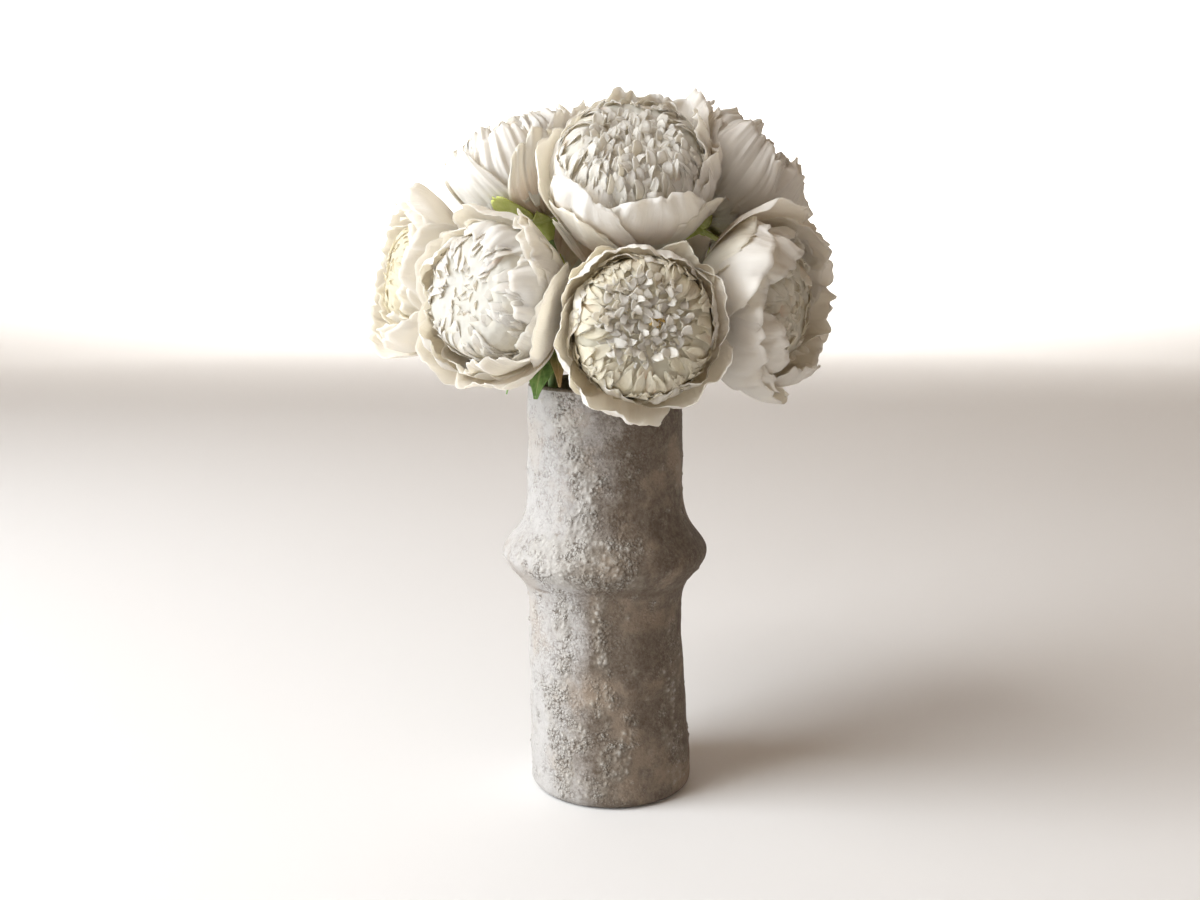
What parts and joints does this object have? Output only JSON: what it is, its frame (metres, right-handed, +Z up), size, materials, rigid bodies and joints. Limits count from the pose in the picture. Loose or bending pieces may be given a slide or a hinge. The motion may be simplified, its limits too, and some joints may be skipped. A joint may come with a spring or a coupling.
{
  "type": "bunch of peonies in a vase",
  "caption": "Dense dome of double white peonies with stems, sepals and leaves, standing in a tall crusty stoneware vase with one raised bamboo-like joint.",
  "frame": {"origin": "centre of the vase's flat foot, on the surface that the vase stands on", "axes": "+Z up out of the mouth of the vase, -Y toward the front of the bunch, +X to its right"},
  "size_m": [0.3073, 0.2568, 0.4587],
  "materials": {
    "stoneware": "matt, crusty unglazed surface with pale lime patches",
    "petals": "matt translucent petals, cream toward the heart",
    "greenery": "satin green stems, sepals and leaves"
  },
  "bodies": {
    "root": {"vase": "stoneware", "peony_front": "petals", "stem_front": "greenery", "peony_front_left": "petals", "stem_front_left": "greenery", "peony_left": "petals", "stem_left": "greenery", "peony_right": "petals", "stem_right": "greenery", "peony_top_front": "petals", "stem_top_front": "greenery", "peony_top_left": "petals", "stem_top_left": "greenery", "peony_top_right": "petals", "stem_top_right": "greenery", "peony_top_back": "petals", "stem_top_back": "greenery", "peony_back_left": "petals", "stem_back_left": "greenery", "peony_back": "petals", "stem_back": "greenery", "peony_back_right": "petals", "stem_back_right": "greenery"}
  },
  "joints": []
}
